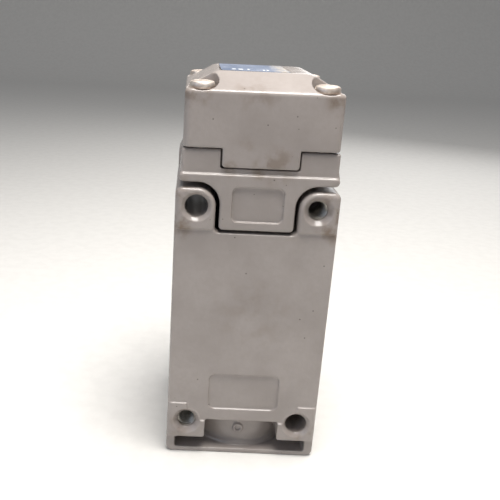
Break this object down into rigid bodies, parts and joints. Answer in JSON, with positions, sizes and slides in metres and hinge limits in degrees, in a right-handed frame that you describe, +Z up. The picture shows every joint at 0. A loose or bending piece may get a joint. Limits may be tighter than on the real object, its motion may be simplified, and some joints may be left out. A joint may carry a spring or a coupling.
{
  "type": "limit switch",
  "caption": "Plug-in limit switch in a die-cast housing with a square side-rotary head, rear mounting holes and a bottom conduit entry.",
  "frame": {"origin": "centre of the bounding box in plan, at the level of the receptacle's bottom face", "axes": "+X to the right seen from the front, +Y out of the mounting face at the back, +Z up from the conduit end to the head; the shaft points along -Y"},
  "size_m": [0.04, 0.06, 0.1012],
  "materials": {
    "grey_paint": "warm light grey enamel on die-cast zinc, worn at the edges",
    "black_phenolic": "moulded black phenolic",
    "natural_nylon": "natural nylon",
    "black_rubber": "moulded nitrile rubber",
    "plated_steel": "zinc-plated steel",
    "spring_steel": "spring steel wire and strip",
    "brass": "plain brass strip",
    "sintered_bronze": "oil-filled sintered bronze",
    "silver_alloy": "silver-faced copper alloy",
    "green_steel": "green dyed steel",
    "blue_label": "blue printed foil with plain white marks",
    "satin_aluminium": "satin aluminium, blank"
  },
  "bodies": {
    "housing": {"receptacle_casting": "grey_paint", "body_gasket": "black_rubber", "terminal_block": "black_phenolic", "socket_contact_1": "brass", "socket_contact_2": "brass", "socket_contact_3": "brass", "socket_contact_4": "brass", "terminal_clamp_1": "brass", "terminal_clamp_2": "brass", "terminal_clamp_3": "brass", "terminal_clamp_4": "brass", "terminal_screw_1": "plated_steel", "terminal_screw_2": "plated_steel", "terminal_screw_3": "plated_steel", "terminal_screw_4": "plated_steel", "terminal_block_screw_1": "plated_steel", "terminal_block_screw_2": "plated_steel", "ground_screw": "green_steel", "switch_body_casting": "grey_paint", "body_screw_1": "plated_steel", "body_screw_2": "plated_steel", "body_screw_retainer_1": "natural_nylon", "body_screw_retainer_2": "natural_nylon", "nameplate": "satin_aluminium", "nameplate_pin_1": "plated_steel", "nameplate_pin_2": "plated_steel", "contact_block_base": "black_phenolic", "contact_block_cover": "black_phenolic", "contact_block_screw_1": "plated_steel", "contact_block_screw_2": "plated_steel", "nc_contact_1": "brass", "nc_contact_2": "brass", "no_contact_1": "brass", "no_contact_2": "brass", "carrier_spring": "spring_steel", "head_casting": "grey_paint", "head_screw_1": "plated_steel", "head_screw_2": "plated_steel", "head_screw_3": "plated_steel", "head_screw_4": "plated_steel", "head_label": "blue_label", "head_diaphragm": "black_rubber", "shaft_bushing": "sintered_bronze", "rear_bushing": "sintered_bronze", "shaft_seal": "black_rubber", "thrust_washer": "plated_steel", "plunger_guide": "sintered_bronze", "plunger_spring": "spring_steel"},
    "contact_carrier": {"contact_carrier": "natural_nylon", "nc_bridge": "silver_alloy", "no_bridge": "silver_alloy", "nc_bridge_spring": "spring_steel", "no_bridge_spring": "spring_steel"},
    "plunger": {"head_plunger": "plated_steel"},
    "cam": {"cam": "sintered_bronze", "torsion_spring": "spring_steel"},
    "shaft": {"operating_shaft": "plated_steel", "drive_pin": "spring_steel", "retaining_ring": "spring_steel"}
  },
  "joints": [
    {"name": "cam_turn", "type": "hinge", "parent": "housing", "child": "cam", "pos_m": [0, 0.01105, 0.0912], "axis": [0, 1, 0], "range_deg": [0, 75], "stiffness_Nm_per_rad": 0.0231},
    {"name": "shaft_idle_turn", "type": "hinge", "parent": "cam", "child": "shaft", "pos_m": [0, 0.01105, 0.0912], "axis": [0, 1, 0], "range_deg": [-75, 0], "stiffness_Nm_per_rad": 0.011},
    {"name": "plunger_slide", "type": "slide", "parent": "housing", "child": "plunger", "axis": [0, 0, -1], "range_m": [0, 0.0024], "deforming": ["plunger_spring"]},
    {"name": "carrier_slide", "type": "slide", "parent": "housing", "child": "contact_carrier", "axis": [0, 0, -1], "range_m": [0, 0.0024], "deforming": ["carrier_spring"]}
  ],
  "couplings": [
    {"joint": "cam_turn", "follows": "plunger_slide", "rad_per_m": 545.41},
    {"joint": "carrier_slide", "follows": "plunger_slide", "ratio": 1}
  ]
}
